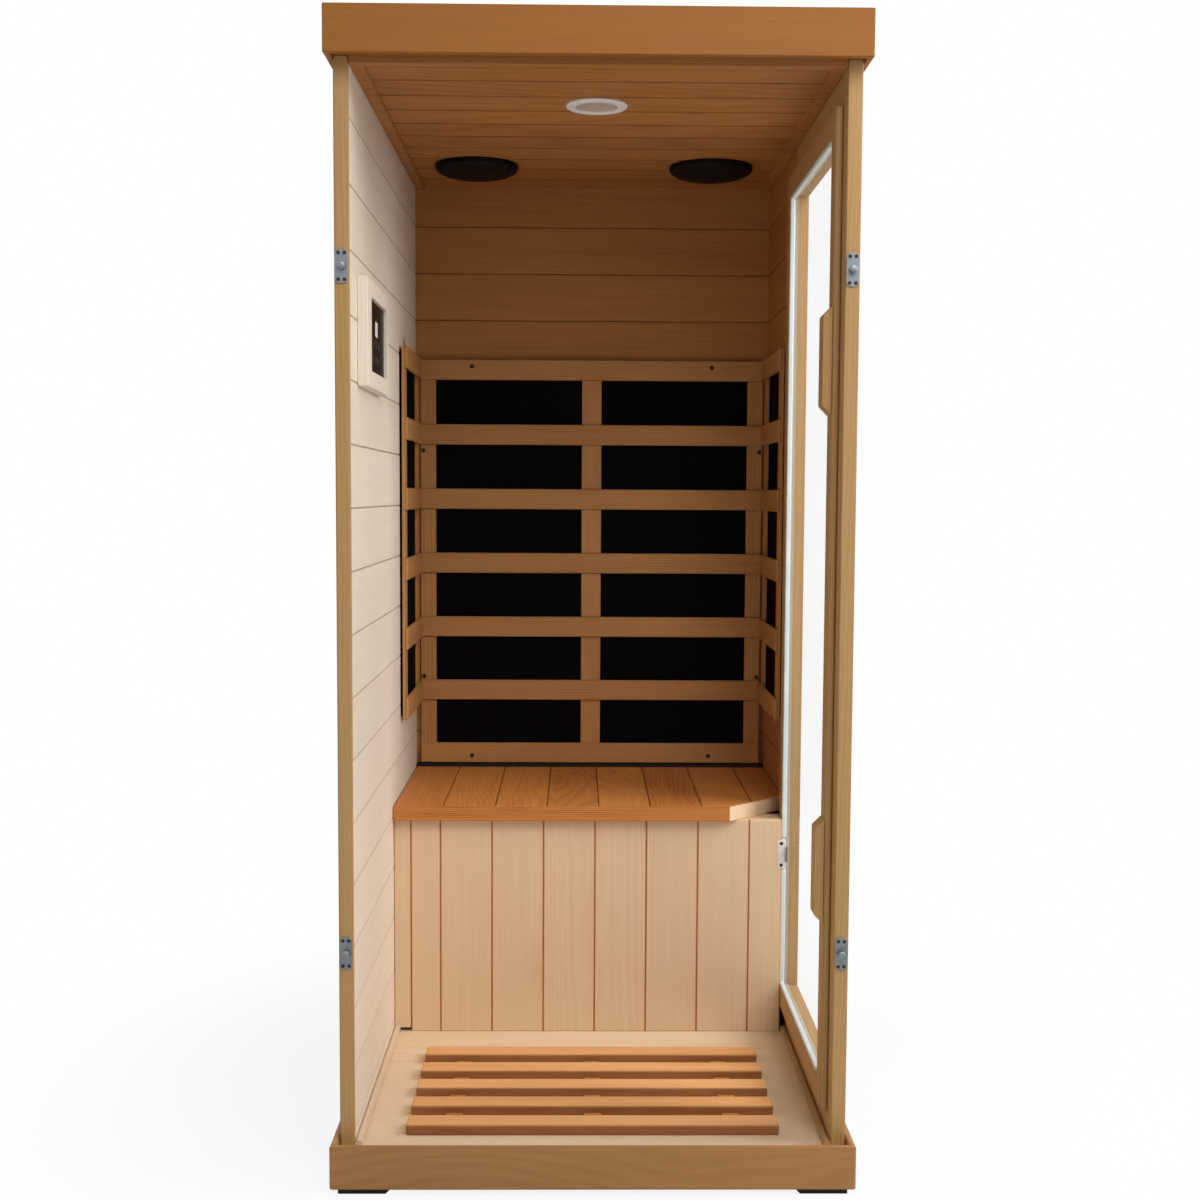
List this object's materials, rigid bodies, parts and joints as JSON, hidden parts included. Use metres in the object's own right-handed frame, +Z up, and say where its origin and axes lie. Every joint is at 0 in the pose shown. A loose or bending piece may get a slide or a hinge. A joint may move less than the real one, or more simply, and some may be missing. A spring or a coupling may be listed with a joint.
{
  "type": "infrared sauna cabin",
  "caption": "Wooden infrared sauna cabin, front panel off, with a seat, guarded heater panels, ceiling light and loudspeakers, control box and a hinged glass side door.",
  "frame": {"origin": "middle of the base, on the surface that the feet stand on", "axes": "+Z up, +X to the right seen from the open front, -Y towards the open front"},
  "size_m": [0.862, 1.1166, 1.9],
  "materials": {
    "honey_wood": "satin sealed softwood",
    "pale_wood": "bare sanded softwood",
    "brown_wood": "satin sealed softwood",
    "kick_wood": "bare sanded softwood",
    "floor_wood": "bare sanded softwood",
    "black_foot": "matt",
    "heater_black": "matt black sheet",
    "speaker_black": "matt black",
    "panel_black": "smooth black",
    "white_plastic": "white moulded",
    "lens": "frosted diffuser",
    "seal": "soft white bulb",
    "steel": "zinc plated",
    "clear_glass": "clear polished"
  },
  "bodies": {
    "cabin": {"base_apron_front": "honey_wood", "base_apron_rear": "honey_wood", "base_apron_left": "honey_wood", "base_apron_right": "honey_wood", "right_wall_front_stile": "honey_wood", "right_wall_header": "honey_wood", "right_wall_sill": "honey_wood", "door_frame_front": "honey_wood", "door_frame_rear": "honey_wood", "door_frame_top": "honey_wood", "door_frame_bottom": "honey_wood", "hinge_block_upper": "honey_wood", "hinge_block_lower": "honey_wood", "roof_fascia_front": "honey_wood", "roof_fascia_rear": "honey_wood", "roof_fascia_left": "honey_wood", "roof_fascia_right": "honey_wood", "roof_deck": "honey_wood", "roof_cover": "honey_wood", "bench_cleat": "honey_wood", "control_frame": "honey_wood", "left_wall_panel": "pale_wood", "back_wall_panel": "brown_wood", "right_wall_rear_panel": "brown_wood", "ceiling_panel": "brown_wood", "bench_top": "brown_wood", "back_heater_guard": "brown_wood", "left_heater_guard": "brown_wood", "right_heater_guard": "brown_wood", "kickboard": "kick_wood", "kick_rail": "kick_wood", "kick_post": "kick_wood", "floor_panel": "floor_wood", "foot_front_left": "black_foot", "foot_front_right": "black_foot", "foot_rear_left": "black_foot", "foot_rear_right": "black_foot", "back_heater_panel": "heater_black", "left_heater_panel": "heater_black", "right_heater_panel": "heater_black", "speaker_left": "speaker_black", "speaker_right": "speaker_black", "control_panel": "panel_black", "light_ring": "white_plastic", "magnetic_catch": "white_plastic", "light_lens": "lens", "door_seal": "seal", "hook_plate_upper_left": "steel", "hook_plate_upper_right": "steel", "hook_plate_lower_left": "steel", "hook_plate_lower_right": "steel", "hinge_plate_upper": "steel", "hinge_plate_lower": "steel", "hinge_pin_upper": "steel", "hinge_pin_lower": "steel"},
    "door": {"door_glass": "clear_glass", "hinge_clamp_upper": "steel", "hinge_clamp_lower": "steel", "catch_strike": "steel"},
    "grille": {"floor_grille": "brown_wood"}
  },
  "joints": [
    {"name": "door_hinge", "type": "hinge", "parent": "cabin", "child": "door", "pos_m": [0.394, -0.42725, 0.9], "axis": [0, 0, -1], "range_deg": [0, 95]},
    {"name": "grille_lift", "type": "slide", "parent": "cabin", "child": "grille", "axis": [0, 0, 1], "range_m": [0, 0.3]}
  ]
}
